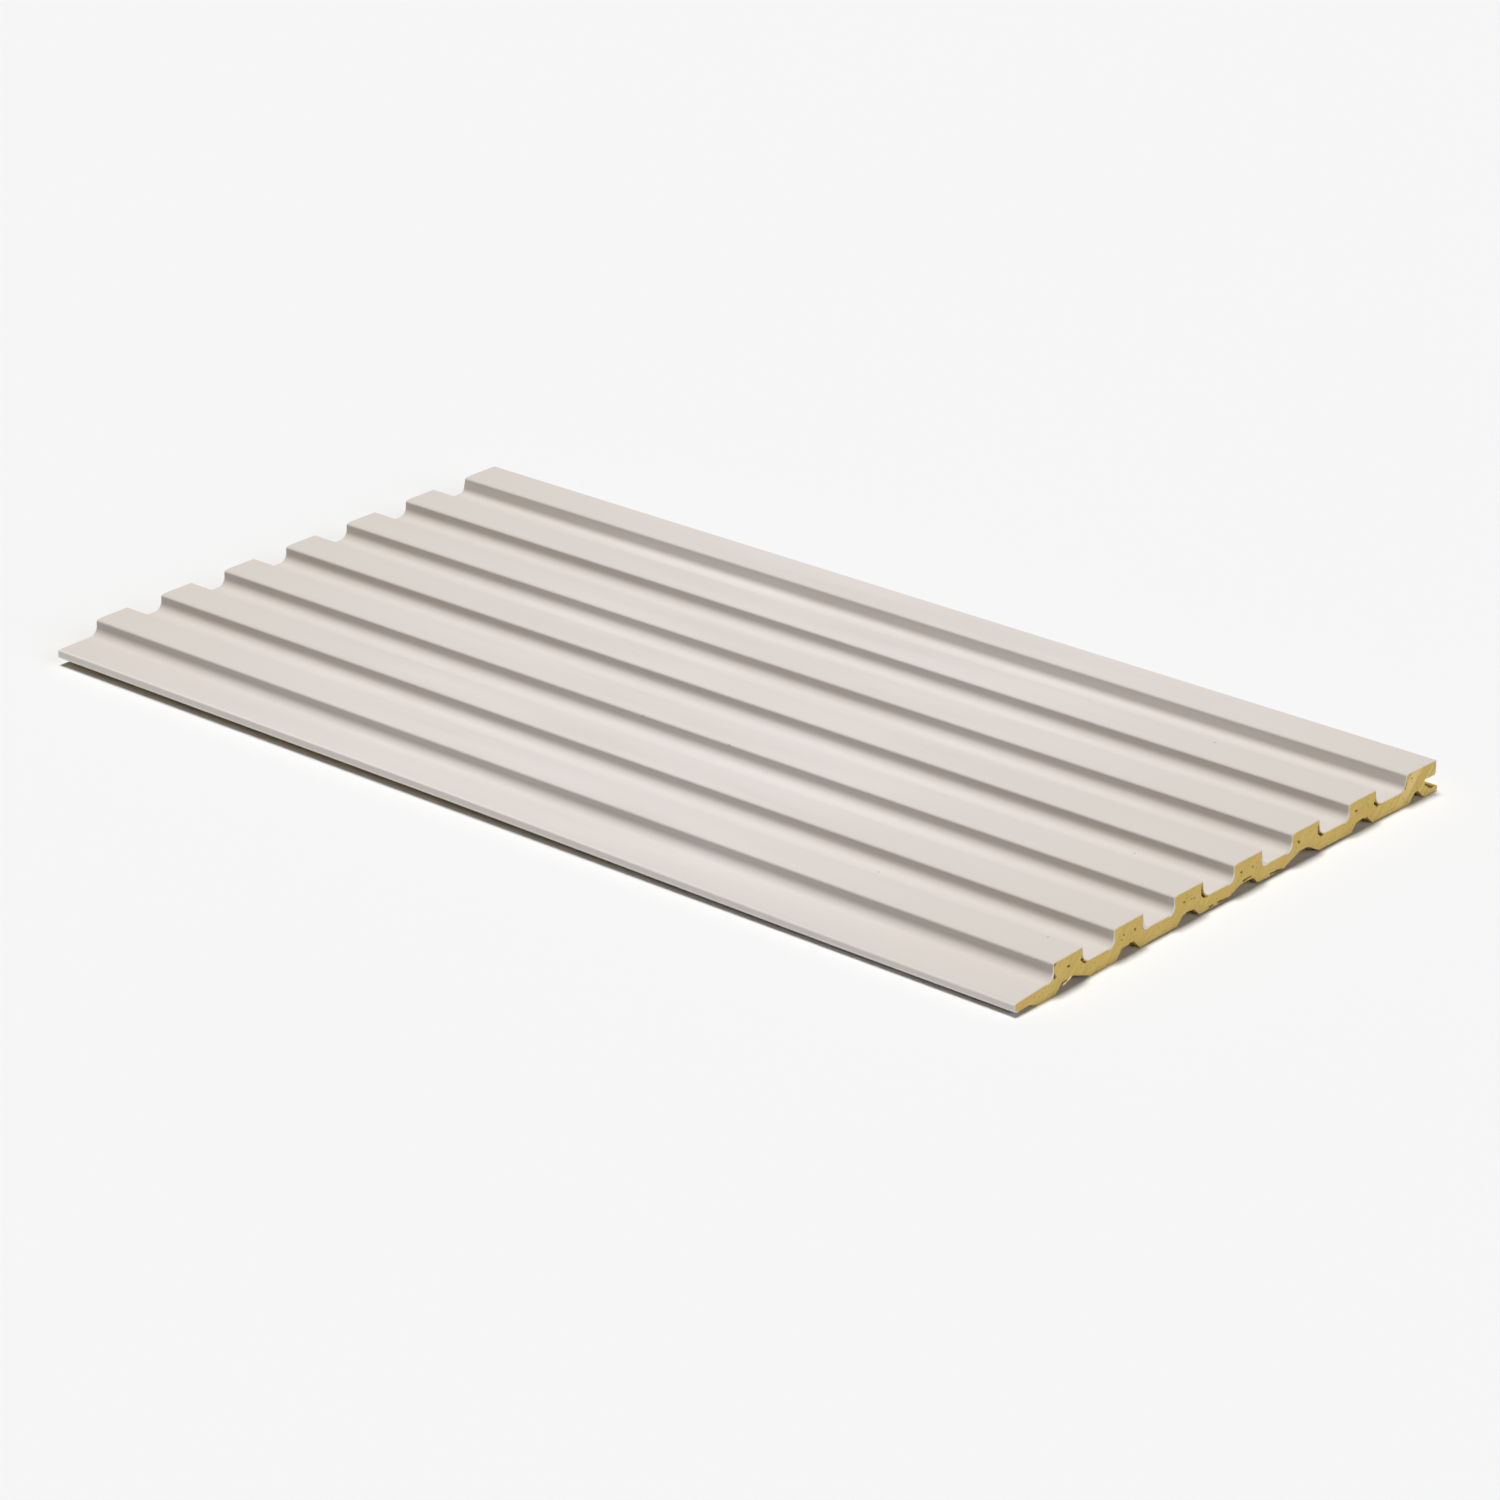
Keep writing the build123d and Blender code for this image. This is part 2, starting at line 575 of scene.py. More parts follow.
def torn_edge(y, tears):
    """Lower edge left by the tears at one place across the panel, in millimetres."""
    edge = ARRIS_LOSS * max(1.0 - ((y - ARRIS_MIDDLE) / ARRIS_HALF_WIDTH) ** 2, 0.0)
    for start, low, end, high in tears:
        if start <= y <= end:
            edge = max(edge, low + (high - low) * (y - start) / (end - start))
    return edge


# The near saw cut isn't quite straight: it runs in behind a square end in the middle of the panel
CUT_WANDER = 0.7 * MM
CUT_MIDDLE = 8.0 * MM
CUT_HALF_WIDTH = 68.0 * MM
CUT_POWER = 4
CUT_REACH = 4.5 * MM


def wander_cut(shape):
    """Bends the near sawn end of a piece along the line that the saw took."""
    for vert in shape.verts:
        inset = NEAR_END - vert.co.x
        if inset > CUT_REACH:
            continue
        aside = abs(vert.co.y - CUT_MIDDLE) / CUT_HALF_WIDTH
        wander = CUT_WANDER * max(1.0 - aside ** CUT_POWER, 0.0)
        vert.co.x -= wander * (1.0 - inset / CUT_REACH)


# The tongue hangs lower towards the near end, where the film also rounds its nose more
TONGUE_ROOT = -64.0 * MM
TONGUE_STEP = 15.0 * MM
TONGUE_ROWS = [step * TONGUE_STEP for step in range(-9, 10)]
DROOP_START = -35.0 * MM
DROOP_END = 120.0 * MM
DROOP_FAR = 0.2 * MM
DROOP_NEAR = 0.95 * MM
DROOP_LEVEL = 1.6 * MM
CROWN_RUN = 1.2 * MM
CROWN_DROP = 0.3 * MM
CROWN_LEVEL = 2.6 * MM


def slice_tongue(shape):
    """Cuts the tongue across its length, so that it can bend."""
    tongue = [
        face for face in shape.faces
        if face.calc_center_median().y < TONGUE_ROOT and not is_sawn(face)
    ]
    slice_faces(shape, tongue, X, TONGUE_ROWS)


def droop_tongue(shape):
    """Bends the tongue down, from its root to its nose and from the far end to the near one."""
    for vert in shape.verts:
        out = held((TONGUE_ROOT - vert.co.y) / (TONGUE_ROOT - TONGUE_TIP))
        if out == 0.0:
            continue
        near = held((vert.co.x - DROOP_START) / (DROOP_END - DROOP_START))
        near *= near * (3.0 - 2.0 * near)
        drop = DROOP_FAR + (DROOP_NEAR - DROOP_FAR) * near
        rounding = held((TONGUE_TIP + CROWN_RUN - vert.co.y) / CROWN_RUN) ** 2
        upper = held((vert.co.z - CROWN_LEVEL) / (FLUTE_FLOOR - CROWN_LEVEL))
        lower = held(vert.co.z / DROOP_LEVEL)
        vert.co.z -= drop * out * lower + CROWN_DROP * near * rounding * upper


# Grid that the sawn ends are cut into, and the grain of their relief, in waves per metre
CORE_GRID = 0.2 * MM
END_ROWS = (0.25 * MM, 0.7 * MM, 1.4 * MM, 2.6 * MM, 4.5 * MM)
SAW_WAVE = 420.0
SAW_GRAIN = 2600.0
TEAR_GRAIN = 1700.0
EDGE_GRAIN = 900.0
WAVE_DRAW = 0.2  # saw waves are drawn out across their own direction
RELIEF_MIDDLE = 0.5
WAVE_SHARE = 0.32
GRAIN_SHARE = 0.18


def saw_relief(point):
    """Unevenness of the sawn face at a point: long saw waves with a finer grain, from 0 to 1."""
    slanted = Vector((point.y + point.z, (point.y - point.z) * WAVE_DRAW, point.x))
    wave = noise.noise(slanted * SAW_WAVE)
    grain = noise.noise(point * SAW_GRAIN)
    return RELIEF_MIDDLE + WAVE_SHARE * wave + GRAIN_SHARE * grain


# Tears, crumbs and hollows: heights and spans in millimetres, the rest as shares
# Painted shade on the torn faces under a sawn end
TORN_PAINTED_SHADE = 0.75
TEAR_FADE = 1.5  # power by which a tear dies away inwards
JAG_HEIGHT = 0.16
CRUMB_HEIGHT = 0.42
CRUMB_ROW = 7.0  # the crumbs' place in the noise pattern
CRUMB_LEVEL = 3.0
SINK_LEAST = 0.4
SINK_RANGE = 1.2
HOLLOW_SPAN = 6.0
HOLLOW_SOFTNESS = 2.0  # a hollow fades out at this many half widths


def tear_end(shape, side, tears, reach, shade):
    """Breaks the lower edges of one sawn end along its tears, less and less further in, and paints
    shade on the torn faces.
    """
    for vert in shape.verts:
        inset = NEAR_END - side * vert.co.x
        if inset > reach:
            continue
        y = vert.co.y / MM
        edge = torn_edge(y, tears)
        fade = 1.0 - (inset / reach) ** TEAR_FADE
        jag = noise.noise(vert.co * TEAR_GRAIN) * JAG_HEIGHT
        crumb_place = Vector((side * CRUMB_ROW, y * EDGE_GRAIN * MM, CRUMB_LEVEL))
        crumb = max(noise.noise(crumb_place), 0.0) * CRUMB_HEIGHT
        level = (edge + jag) * fade if edge > 0 else crumb * fade * fade
        if vert.co.z < level * MM:
            vert.co.z = level * MM
            if inset > LEVEL_TOLERANCE:
                # painted shade under the torn edge
                vert[shade] = TORN_PAINTED_SHADE


def saw_end(shape, side, hollows, depth, shade):
    """Sinks one sawn end behind the film's edge, opens its pores and gaps, and paints shade into them.
    """
    for vert in shape.verts:
        if NEAR_END - side * vert.co.x > LEVEL_TOLERANCE:
            continue
        sunk = depth * (SINK_LEAST + SINK_RANGE * saw_relief(vert.co))
        y, z = vert.co.y / MM, vert.co.z / MM
        painted_dark = 0.0
        for hollow in hollows:
            start, *_, width, deep = hollow
            if abs(y - start) > HOLLOW_SPAN:
                continue
            share = held(HOLLOW_SOFTNESS - off_line(y, z, hollow) / width)
            sunk = max(sunk, share * deep * MM)
            painted_dark = max(painted_dark, share)
        # painted shade inside the pores and gaps
        vert[shade] = max(vert[shade], painted_dark)
        vert.co.x -= side * sunk


def make_core(settings):
    """The composite core: sawn ends with pores, gaps and torn lower edges, sunk under the film, with
    painted shade in the hollows.
    """
    shape = merged_panel()
    # Painted shade for the pores, gaps and torn lower edges, kept on the points
    shade = shape.verts.layers.float.new("painted_shade")
    slice_shape(shape, Z, places_between(0, RIB_TOP, CORE_GRID))
    slice_shape(shape, Y, places_between(TONGUE_TIP, LIP_TIP, CORE_GRID))
    slice_shape(shape, X, row_places(END_ROWS))
    slice_tongue(shape)
    filmed = {face for face in shape.faces if is_filmed(face)}
    film = settings.film
    for vert, move in inward_moves(filmed, film.thickness, SOFT_ROOTS, film.bead).items():
        # painted shade on the core inside the empty gaps at the roots
        vert[shade] = min(root_share(vert.co, GAP_ROOTS) * GAP_PAINTED_SHADE, 1.0)
        vert.co += move
    ends = (
        (1, NEAR_HOLLOWS, NEAR_TEARS),
        (-1, far_hollows(settings.core.pore_seed), FAR_TEARS),
    )
    sawn = {face for face in shape.faces if is_sawn(face)}
    for face in shape.faces:
        face.material_index = 0 if face in sawn else 1
    for side, hollows, tears in ends:
        tear_end(shape, side, tears, settings.core.tear_reach, shade)
        saw_end(shape, side, hollows, settings.core.saw_depth, shade)
    droop_tongue(shape)
    wander_cut(shape)
    bmesh.ops.remove_doubles(shape, verts=shape.verts, dist=MERGE_DISTANCE)
    bmesh.ops.dissolve_degenerate(shape, edges=shape.edges, dist=MERGE_DISTANCE)
    return shape


# Rows that let the film bend over the roots and round the nose
FILM_GRID = 0.6 * MM
NOSE_ROWS = [TONGUE_TIP + row * MM for row in (0.5, 0.7, 0.9, 1.1)]


def make_film(settings):
    """The wrapped film: a thin skin over the face, the edge rib and the tongue's nose."""
    shape = merged_panel()
    slice_shape(shape, Y, places_between(TONGUE_TIP, LIP_TIP, FILM_GRID))
    slice_shape(shape, Y, NOSE_ROWS)
    slice_shape(shape, X, row_places(END_ROWS))
    slice_tongue(shape)
    bare = [face for face in shape.faces if not is_filmed(face)]
    bmesh.ops.delete(shape, geom=bare, context="FACES")
    film = settings.film
    moves = inward_moves(set(shape.faces), film.thickness, GLUED_ROOTS, film.bead)
    inner = {vert.co.to_tuple(): move for vert, move in moves.items()}
    skin = bmesh.ops.extrude_face_region(shape, geom=shape.faces[:], use_keep_orig=True)
    for part in skin["geom"]:
        if isinstance(part, bmesh.types.BMVert):
            part.co += inner[part.co.to_tuple()]
    bmesh.ops.recalc_face_normals(shape, faces=shape.faces[:])
    for face in shape.faces:
        face.material_index = 1 if is_sawn(face) else 0
    droop_tongue(shape)
    wander_cut(shape)
    return shape


# Sliver that the saw left hanging in the first recess of the near end: places in millimetres
BURR_ROOT = (-57.6, 2.45)
BURR_BEND = (-58.9, 1.20)
BURR_TIP = (-60.4, 1.15)
BURR_INSET = 0.4 * MM
BURR_DEPTH = 0.7 * MM
BURR_THICKNESS = 0.45 * MM
BURR_STEPS = 12
BURR_TAPER = 0.6
BURR_CURL = 0.15 * MM


def make_burr():
    """A thin curled sliver, widest where it hangs on the core and narrow at its tip."""
    shape = bmesh.new()
    bmesh.ops.create_grid(shape, x_segments=2, y_segments=BURR_STEPS, size=0.5)
    for vert in shape.verts:
        along = vert.co.y + 0.5
        across = vert.co.x
        first = Vector(BURR_ROOT).lerp(Vector(BURR_BEND), along)
        last = Vector(BURR_BEND).lerp(Vector(BURR_TIP), along)
        place = first.lerp(last, along) * MM
        depth = BURR_DEPTH * (1.0 - BURR_TAPER * along)
        curl = BURR_CURL * across * sin(pi * along)
        vert.co = (NEAR_END - BURR_INSET + across * depth, place.x, place.y + curl)
    bmesh.ops.recalc_face_normals(shape, faces=shape.faces[:])
    bmesh.ops.solidify(shape, geom=shape.faces[:], thickness=BURR_THICKNESS)
    bmesh.ops.recalc_face_normals(shape, faces=shape.faces[:])
    return shape


def new_material(name):
    """Material with an empty node tree, its Principled shader and its Object coordinates."""
    material = bpy.data.materials.new(name)
    material.use_nodes = True
    nodes = material.node_tree.nodes
    nodes.clear()
    output = nodes.new("ShaderNodeOutputMaterial")
    shader = nodes.new("ShaderNodeBsdfPrincipled")
    place = nodes.new("ShaderNodeTexCoord")
    material.node_tree.links.new(shader.outputs["BSDF"], output.inputs["Surface"])
    return material, shader, place.outputs["Object"]


def node_in(material, kind, links=None, **values):
    """Adds one node: values set its options and sockets, links join its sockets to others."""
    tree = material.node_tree
    node = tree.nodes.new(kind)
    sockets = {}
    for name, value in values.items():
        if hasattr(node, name):
            setattr(node, name, value)
        else:
            sockets[name] = value
    for name, value in sockets.items():
        node.inputs[name.replace("_", " ")].default_value = value
    for name, source in (links or {}).items():
        tree.links.new(source, node.inputs[name])
    return node


def stretched(material, place, scale):
    """Coordinates drawn out along an axis, for grain that runs one way."""
    mapping = node_in(material, "ShaderNodeMapping", {"Vector": place})
    mapping.inputs["Scale"].default_value = scale
    return mapping.outputs["Vector"]


def cloud(material, place, scale, detail=3.0, rough=0.5):
    """Noise pattern of one scale, as a value between 0 and 1."""
    texture = node_in(material, "ShaderNodeTexNoise", {"Vector": place})
    texture.inputs["Scale"].default_value = scale
    texture.inputs["Detail"].default_value = detail
    texture.inputs["Roughness"].default_value = rough
    return texture.outputs["Fac"]


def ranged(material, value, low, high, to_low=0.0, to_high=1.0):
    """A value brought from one range to another, and kept inside it."""
    change = node_in(material, "ShaderNodeMapRange", {"Value": value})
    change.inputs["From Min"].default_value = low
    change.inputs["From Max"].default_value = high
    change.inputs["To Min"].default_value = to_low
    change.inputs["To Max"].default_value = to_high
    return change.outputs["Result"]


def worked(material, operation, first, second):
    """One sum on two values or sockets."""
    step = node_in(material, "ShaderNodeMath", operation=operation)
    for index, value in enumerate((first, second)):
        if isinstance(value, bpy.types.NodeSocket):
            material.node_tree.links.new(value, step.inputs[index])
        else:
            step.inputs[index].default_value = value
    return step.outputs["Value"]


def blended(material, share, first, second):
    """Colour between two others; each may be a colour or a socket."""
    mix = node_in(material, "ShaderNodeMix", data_type="RGBA")
    tree = material.node_tree
    tree.links.new(share, mix.inputs[0])
    for socket, colour in ((mix.inputs[6], first), (mix.inputs[7], second)):
        if isinstance(colour, bpy.types.NodeSocket):
            tree.links.new(colour, socket)
        else:
            socket.default_value = (*colour, 1.0)
    return mix.outputs[2]


def bumped(material, shader, height, strength, distance):
    """Gives a shader relief from a height pattern."""
    bump = node_in(material, "ShaderNodeBump", {"Height": height})
    bump.inputs["Strength"].default_value = strength
    bump.inputs["Distance"].default_value = distance
    material.node_tree.links.new(bump.outputs["Normal"], shader.inputs["Normal"])


def roughness_in(material, shader, roughness):
    """Joins a pattern to a shader's roughness."""
    material.node_tree.links.new(roughness, shader.inputs["Roughness"])


def colour_in(material, shader, colour):
    """Joins a colour to a shader's base colour."""
    material.node_tree.links.new(colour, shader.inputs["Base Color"])


# Dust on the face, each speck's place in millimetres
DUST_PLACES = (
    (105.4, 51.4, 8.0),
    (141.2, -54.9, 8.0),
    (141.4, -66.7, 4.1),
    (123.8, -2.3, 4.1),
    (86.8, -46.6, 4.1),
    (80.0, 43.0, 4.5),
    (-7.2, -21.4, 7.5),
    (20.0, -21.3, 7.6),
)
DUST_FADE = (0.136 * MM, 0.34 * MM)
DUST_SHADE = 0.9
SPECK_SCALE = 42.0
SPECK_FADE = (0.006, 0.013)
SPECK_CHANCE = (0.62, 0.66)
SPECK_SHADE = 0.55

# Painted light and shade on the film: each fade runs from full to none
HIGHLIGHT_RISE = 0.2 * MM
PAINTED_END_SHADE_START = 50.0 * MM
NOSE_LIGHT_FADE = (0.1 * MM, 0.5 * MM)
HIGHLIGHT_FADE = (0.15 * MM, 0.4 * MM)

# Patterns drawn out along the flutes, and saw streaks that slant across the section
FILM_DRAW = (0.12, 1.0, 1.0)
BACK_DRAW = (0.025, 1.0, 1.0)
SAW_SLANT = (radians(-45), 0.0, 0.0)
SAW_DRAW = (0.5, 0.06, 1.0)
SAW_EDGE = (58.0 * MM, 66.0 * MM)


def painted_nose_light(material, axes, colour, settings):
    """Painted light: film painted paler along the tongue's nose, with a painted highlight along its
    drooping lower edge.
    """
    solid, faded = [NOSE_EDGE[0] + inset for inset in NOSE_LIGHT_FADE]
    nose = ranged(material, axes["Y"], solid, faded, to_low=1.0, to_high=0.0)
    colour = blended(material, nose, colour, settings.nose_painted_light)
    droop = node_in(
        material, "ShaderNodeMapRange", {"Value": axes["X"]}, interpolation_type="SMOOTHSTEP"
    )
    droop.inputs["From Min"].default_value = DROOP_START
    droop.inputs["From Max"].default_value = DROOP_END
    droop.inputs["To Min"].default_value = DROOP_FAR
    droop.inputs["To Max"].default_value = DROOP_NEAR
    height = worked(material, "ADD", axes["Z"], droop.outputs["Result"])
    above = worked(material, "SUBTRACT", height, NOSE_EDGE[1] - NOSE_SAG + HIGHLIGHT_RISE)
    rise = worked(material, "ABSOLUTE", above, 0.0)
    lit = ranged(material, rise, *HIGHLIGHT_FADE, to_low=1.0, to_high=0.0)
    lit = worked(material, "MULTIPLY", lit, nose)
    return blended(material, lit, colour, settings.nose_edge_highlight)


def dust_share(material, place):
    """Where dust lies on the film: a scatter of faint specks, and the darker ones at their places."""
    spots = node_in(material, "ShaderNodeTexVoronoi", {"Vector": place})
    spots.inputs["Scale"].default_value = SPECK_SCALE
    chance = node_in(material, "ShaderNodeSeparateColor", {"Color": spots.outputs["Color"]})
    near = ranged(material, spots.outputs["Distance"], *SPECK_FADE, to_low=1.0, to_high=0.0)
    kept = ranged(material, chance.outputs["Red"], *SPECK_CHANCE, to_low=0.0, to_high=SPECK_SHADE)
    dust = worked(material, "MULTIPLY", near, kept)
    for speck in DUST_PLACES:
        away = node_in(material, "ShaderNodeVectorMath", {0: place}, operation="DISTANCE")
        away.inputs[1].default_value = Vector(speck) * MM
        distance = away.outputs["Value"]
        spot = ranged(material, distance, *DUST_FADE, to_low=DUST_SHADE, to_high=0.0)
        dust = worked(material, "MAXIMUM", dust, spot)
    return dust


def film_material(settings):
    """Matte warm-grey film: faint streaks along the flutes, fine grain, painted shade towards the sawn
    ends, painted light on the nose with a painted highlight along its lower edge, and dust.
    """
    material, shader, place = new_material("wrap_film")
    along = stretched(material, place, FILM_DRAW)
    streaks = ranged(material, cloud(material, along, scale=110.0, detail=4.0), low=0.35, high=0.65)
    axes = node_in(material, "ShaderNodeSeparateXYZ", {"Vector": place}).outputs
    colour = blended(material, streaks, settings.shade, settings.colour)
    # painted shade, darker towards both sawn ends
    from_middle = worked(material, "ABSOLUTE", axes["X"], 0.0)
    painted_end_share = ranged(material, from_middle, PAINTED_END_SHADE_START, NEAR_END)
    colour = blended(material, painted_end_share, colour, settings.painted_end_shade)
    colour = painted_nose_light(material, axes, colour, settings)
    colour = blended(material, dust_share(material, place), colour, settings.speck_colour)
    colour_in(material, shader, colour)
    grain = cloud(material, place, scale=2400.0, detail=3.0, rough=0.6)
    gloss = ranged(material, grain, low=0.3, high=0.7, to_low=0.66, to_high=0.76)
    roughness_in(material, shader, gloss)
    shader.inputs["Specular IOR Level"].default_value = 0.12
    bumped(material, shader, grain, strength=0.25, distance=0.03 * MM)
    return material


def cut_film_material(settings):
    """Pale body of the film along the saw cut, painted paler still as a painted highlight."""
    material, shader, place = new_material("film_cut_edge")
    grain = cloud(material, place, scale=3000.0)
    colour = blended(material, grain, settings.cut_colour_and_highlight, settings.colour)
    colour_in(material, shader, colour)
    gloss = ranged(material, grain, low=0.2, high=0.8, to_low=0.65, to_high=0.8)
    roughness_in(material, shader, gloss)
    bumped(material, shader, grain, strength=0.3, distance=0.03 * MM)
    return material


def sawn_material(settings):
    """Sawn composite: mustard with saw streaks, warm patches, and open pores with painted shade in
    them.
    """
    material, shader, place = new_material("sawn_core")
    mottle = cloud(material, place, scale=240.0, detail=3.0)
    patches = ranged(material, mottle, low=0.52, high=0.72, to_low=0.0, to_high=0.6)
    colour = blended(material, patches, settings.colour, settings.tint)
    turned = node_in(material, "ShaderNodeMapping", {"Vector": place})
    turned.inputs["Rotation"].default_value = SAW_SLANT
    drawn = stretched(material, turned.outputs["Vector"], SAW_DRAW)
    scratches = cloud(material, drawn, scale=1100.0, detail=2.0)
    streaks = ranged(material, scratches, low=0.46, high=0.6, to_low=0.0, to_high=0.7)
    axes = node_in(material, "ShaderNodeSeparateXYZ", {"Vector": place}).outputs
    edge = ranged(material, axes["Y"], *SAW_EDGE, to_low=0.25, to_high=1.0)
    streaks = worked(material, "MULTIPLY", streaks, edge)
    colour = blended(material, streaks, colour, settings.streak)
    # painted shade: small dark dots for pores too small to model
    specks = node_in(material, "ShaderNodeTexVoronoi", {"Vector": place})
    specks.inputs["Scale"].default_value = 900.0
    painted_pore_dots = ranged(material, specks.outputs["Distance"], low=0.1, high=0.26, to_low=0.3, to_high=0.0)
    colour = blended(material, painted_pore_dots, colour, settings.hollow_shade_colour)
    # painted shade in the pores and gaps
    pores = node_in(material, "ShaderNodeAttribute", attribute_name="painted_shade")
    colour = blended(material, pores.outputs["Fac"], colour, settings.hollow_shade_colour)
    colour_in(material, shader, colour)
    grain = cloud(material, place, scale=5200.0, detail=3.0, rough=0.6)
    gloss = ranged(material, grain, low=0.3, high=0.7, to_low=0.72, to_high=0.86)
    roughness_in(material, shader, gloss)
    shader.inputs["Specular IOR Level"].default_value = 0.25
    bumped(material, shader, worked(material, "ADD", grain, streaks), strength=0.4, distance=0.05 * MM)
    return material


def back_material(settings):
    """Extruded skin of the composite: smooth, with drag lines along the length, and painted shade in
    the gaps under the film and on the torn lower edges.
    """
    material, shader, place = new_material("extruded_core")
    along = stretched(material, place, BACK_DRAW)
    lines = cloud(material, along, scale=900.0, detail=4.0, rough=0.6)
    drag = ranged(material, lines, low=0.35, high=0.7)
    colour = blended(material, drag, settings.back_colour, settings.colour)
    mottle = cloud(material, place, scale=60.0, detail=4.0)
    patches = ranged(material, mottle, low=0.5, high=0.75, to_low=0.0, to_high=0.5)
    colour = blended(material, patches, colour, settings.tint)
    # painted shade in the gaps and on the torn lower edges
    gaps = node_in(material, "ShaderNodeAttribute", attribute_name="painted_shade")
    colour = blended(material, gaps.outputs["Fac"], colour, settings.hollow_shade_colour)
    colour_in(material, shader, colour)
    gloss = ranged(material, lines, low=0.3, high=0.7, to_low=0.42, to_high=0.58)
    roughness_in(material, shader, gloss)
    shader.inputs["Specular IOR Level"].default_value = 0.35
    bumped(material, shader, lines, strength=0.3, distance=0.06 * MM)
    return material


def burr_material(settings):
    """Freshly torn sliver: pale, with an orange underside colour showing in patches."""
    material, shader, place = new_material("saw_burr")
    patches = ranged(material, cloud(material, place, scale=900.0, detail=3.0), low=0.45, high=0.65)
    colour_in(material, shader, blended(material, patches, settings.burr_colour, settings.tint))
    grain = cloud(material, place, scale=4200.0)
    gloss = ranged(material, grain, low=0.3, high=0.7, to_low=0.6, to_high=0.75)
    roughness_in(material, shader, gloss)
    bumped(material, shader, grain, strength=0.3, distance=0.04 * MM)
    return material


class FLUTED_PANEL_OT_saw_core(bpy.types.Operator):
    """Make the composite core with its sawn ends"""

    bl_idname = "fluted_panel.saw_core"
    bl_label = "Saw Core"

    def execute(self, context):
        settings = context.scene.wall_panel
        core = make_core(settings)
        sawn = sawn_material(settings.core)
        back = back_material(settings.core)
        piece_from(core, "panel_core", "raw_core", sawn, back)
        return {"FINISHED"}


class FLUTED_PANEL_OT_leave_burr(bpy.types.Operator):
    """Leave the sliver that hangs in the first recess of the near end"""

    bl_idname = "fluted_panel.leave_burr"
    bl_label = "Leave Burr"

    def execute(self, context):
        settings = context.scene.wall_panel.core
        piece_from(make_burr(), "saw_burr", "raw_core", burr_material(settings))
        return {"FINISHED"}


class FLUTED_PANEL_OT_wrap_film(bpy.types.Operator):
    """Wrap the face, the edge rib and the tongue's nose in film"""

    bl_idname = "fluted_panel.wrap_film"
    bl_label = "Wrap Film"

    def execute(self, context):
        settings = context.scene.wall_panel
        film = make_film(settings)
        face = film_material(settings.film)
        edge = cut_film_material(settings.film)
        piece_from(film, "face_film", "wrap_film", face, edge)
        return {"FINISHED"}


# The photograph's view: the point looked at, and the camera's place about it
VIEW_POINT = Vector((19.4, -13.45, 3.6)) * MM
VIEW_DISTANCE = 1238.2 * MM
VIEW_AZIMUTH = radians(-48.105)
VIEW_ELEVATION = radians(23.448)
VIEW_ROLL = radians(-0.70)
SENSOR_WIDTH = 36.0  # millimetres
FLOOR_SIZE = 12.0  # metres
FLOOR_STAIN = 0.995
FLOOR_ROUGHNESS = 0.9
CLIP_START = 50.0 * MM
SOFTBOX_TILT = (radians(-3), radians(-10), 0.0)
CARD_TILT = (0.0, radians(68), 0.0)
CARD_WIDTH = radians(40)


def floor_material(settings):
    """Pale matte floor with a trace of unevenness."""
    material, shader, place = new_material("studio_floor")
    stain = cloud(material, place, scale=3.0)
    deeper = [value * FLOOR_STAIN for value in settings.floor_colour]
    colour_in(material, shader, blended(material, stain, settings.floor_colour, deeper))
    shader.inputs["Roughness"].default_value = FLOOR_ROUGHNESS
    shader.inputs["Specular IOR Level"].default_value = 0.0
    return material


def lay_floor(scene, settings):
    """Level floor under the panel."""
    shape = bmesh.new()
    bmesh.ops.create_grid(shape, x_segments=2, y_segments=2, size=FLOOR_SIZE / 2)
    mesh = bpy.data.meshes.new("studio_floor")
    shape.to_mesh(mesh)
    shape.free()
    mesh.materials.append(floor_material(settings))
    floor = bpy.data.objects.new("studio_floor", mesh)
    scene.collection.objects.link(floor)


def hang_lamp(scene, name, strength, width, tilt):
    """Soft light from one direction, as wide as the thing that gives it looks."""
    lamp = bpy.data.lights.new(name, "SUN")
    lamp.energy = strength
    lamp.angle = width
    hung = bpy.data.objects.new(name, lamp)
    hung.rotation_euler = tilt
    scene.collection.objects.link(hung)


def light_room(scene, settings):
    """Even white light from all round."""
    room = bpy.data.worlds.new("white_room")
    room.use_nodes = True
    background = room.node_tree.nodes["Background"]
    background.inputs["Strength"].default_value = settings.room_strength
    background.inputs["Color"].default_value = (1.0, 1.0, 1.0, 1.0)
    scene.world = room
    scene.view_settings.view_transform = "Standard"


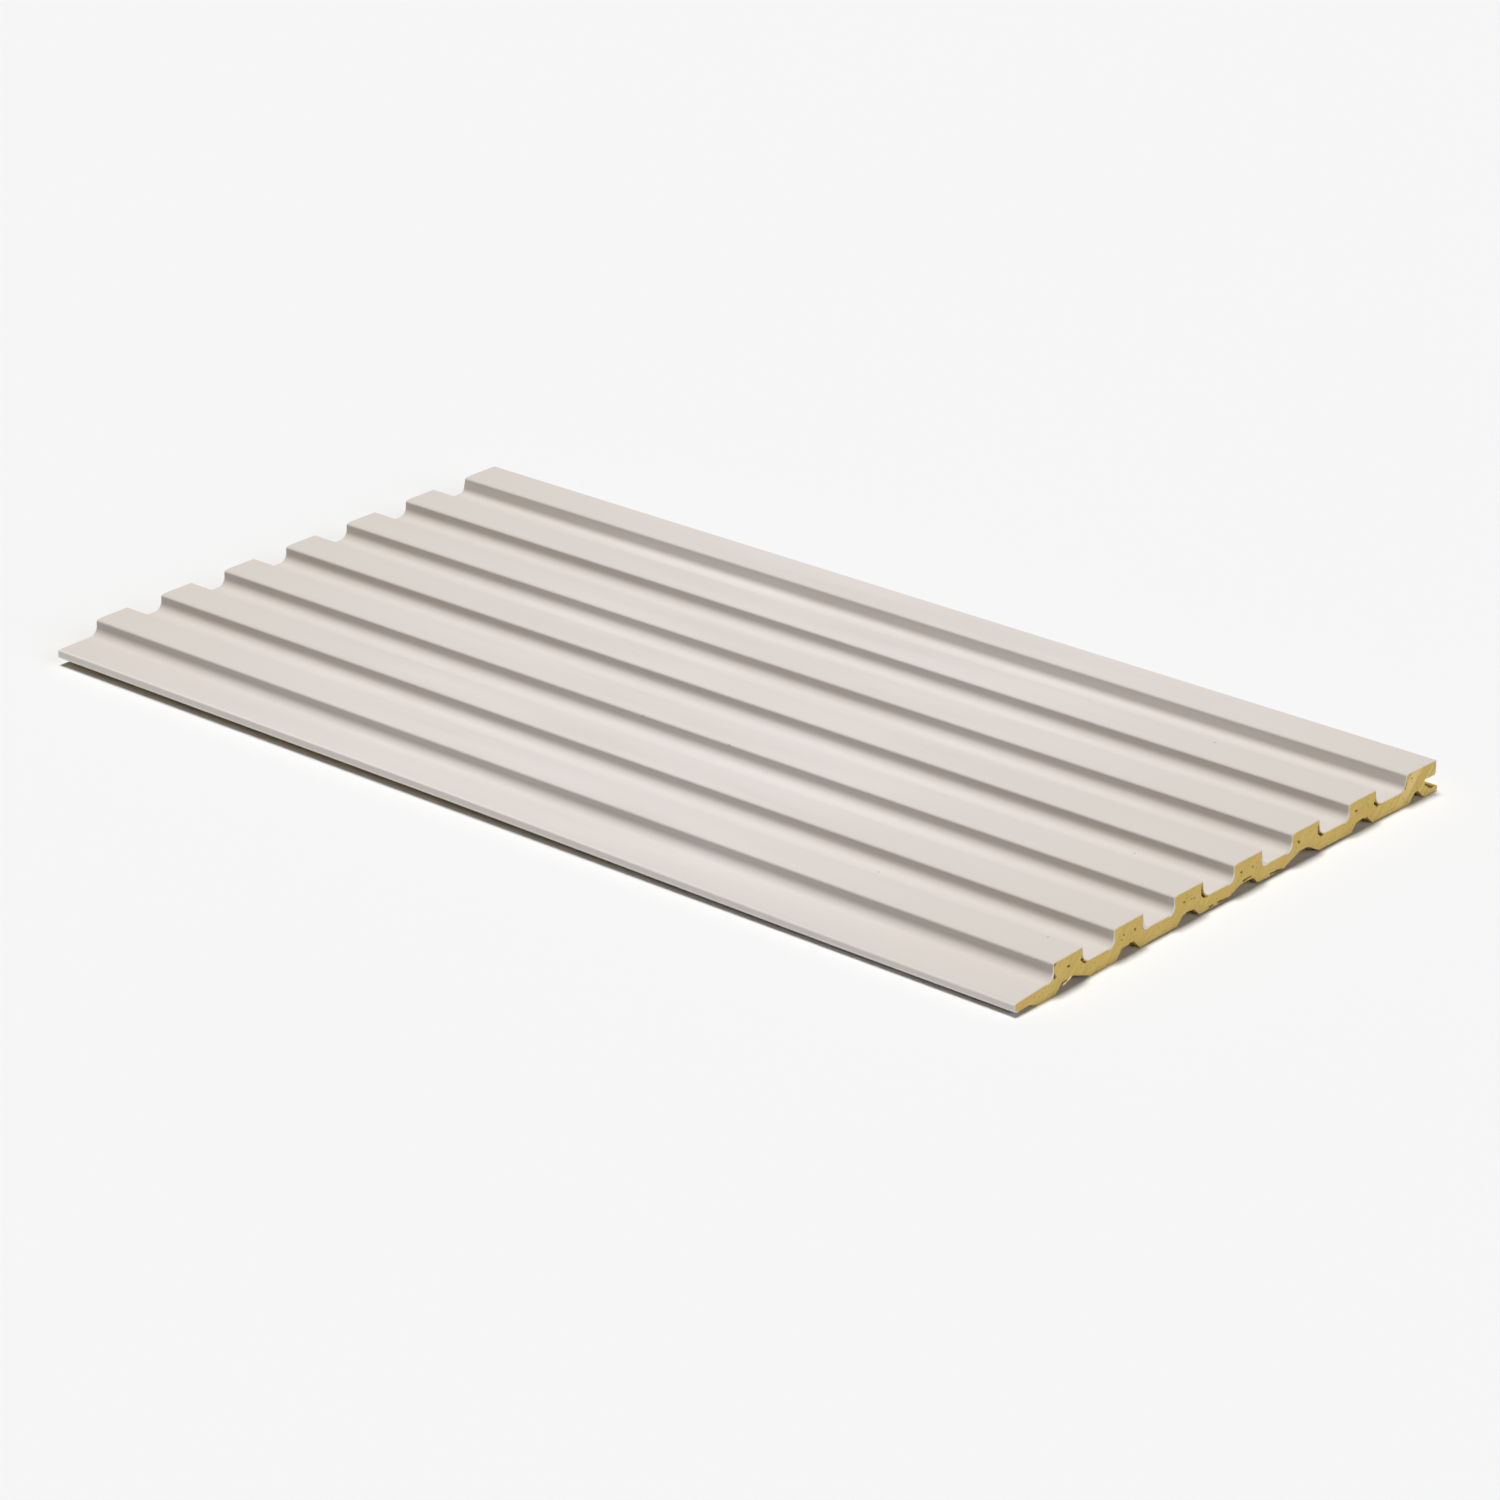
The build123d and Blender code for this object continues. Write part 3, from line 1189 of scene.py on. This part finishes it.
def set_camera(scene, settings):
    """Camera at the photograph's view."""
    lens = bpy.data.cameras.new("photo_camera")
    lens.sensor_fit = "HORIZONTAL"
    lens.sensor_width = SENSOR_WIDTH
    lens.lens = settings.camera_lens
    lens.clip_start = CLIP_START
    camera = bpy.data.objects.new("photo_camera", lens)
    back = Vector((
        cos(VIEW_ELEVATION) * cos(VIEW_AZIMUTH),
        cos(VIEW_ELEVATION) * sin(VIEW_AZIMUTH),
        sin(VIEW_ELEVATION),
    ))
    camera.location = VIEW_POINT + back * VIEW_DISTANCE
    level = (-back).to_track_quat("-Z", "Y").to_matrix()
    camera.rotation_euler = (level @ Matrix.Rotation(VIEW_ROLL, 3, "Z")).to_euler()
    scene.collection.objects.link(camera)
    scene.camera = camera


class FLUTED_PANEL_OT_set_stage(bpy.types.Operator):
    """Lay the floor, hang the lamps and set up the camera"""

    bl_idname = "fluted_panel.set_stage"
    bl_label = "Set Stage"

    def execute(self, context):
        scene = context.scene
        settings = scene.wall_panel.stage
        lay_floor(scene, settings)
        hang_lamp(scene, "softbox", settings.softbox_strength, settings.softbox_width, SOFTBOX_TILT)
        hang_lamp(scene, "white_card", settings.card_strength, CARD_WIDTH, CARD_TILT)
        light_room(scene, settings)
        set_camera(scene, settings)
        return {"FINISHED"}


class FLUTED_PANEL_PT_sidebar(bpy.types.Panel):
    """Sizes, colours and steps of the wall panel"""

    bl_idname = "FLUTED_PANEL_PT_sidebar"
    bl_label = "Fluted Wall Panel"
    bl_space_type = "VIEW_3D"
    bl_region_type = "UI"
    bl_category = "Wall Panel"

    def draw(self, context):
        settings = context.scene.wall_panel
        for group in (settings.film, settings.core, settings.stage):
            box = self.layout.box()
            for name in group.__annotations__:
                box.prop(group, name)
        for step in STEPS:
            self.layout.operator(step.bl_idname)


STEPS = (
    FLUTED_PANEL_OT_set_stage,
    FLUTED_PANEL_OT_saw_core,
    FLUTED_PANEL_OT_leave_burr,
    FLUTED_PANEL_OT_wrap_film,
)
CLASSES = (
    PanelFilmSettings,
    PanelCoreSettings,
    PanelStageSettings,
    PanelSettings,
    *STEPS,
    FLUTED_PANEL_PT_sidebar,
)


def register():
    """Adds the settings, the steps and the sidebar panel."""
    for item in CLASSES:
        bpy.utils.register_class(item)
    bpy.types.Scene.wall_panel = PointerProperty(type=PanelSettings)


def unregister():
    """Takes them away again."""
    del bpy.types.Scene.wall_panel
    for item in reversed(CLASSES):
        bpy.utils.unregister_class(item)


def main():
    """Builds the panel and its stage."""
    register()
    bpy.ops.fluted_panel.set_stage()
    bpy.ops.fluted_panel.saw_core()
    bpy.ops.fluted_panel.leave_burr()
    bpy.ops.fluted_panel.wrap_film()


if __name__ == "__main__":
    main()
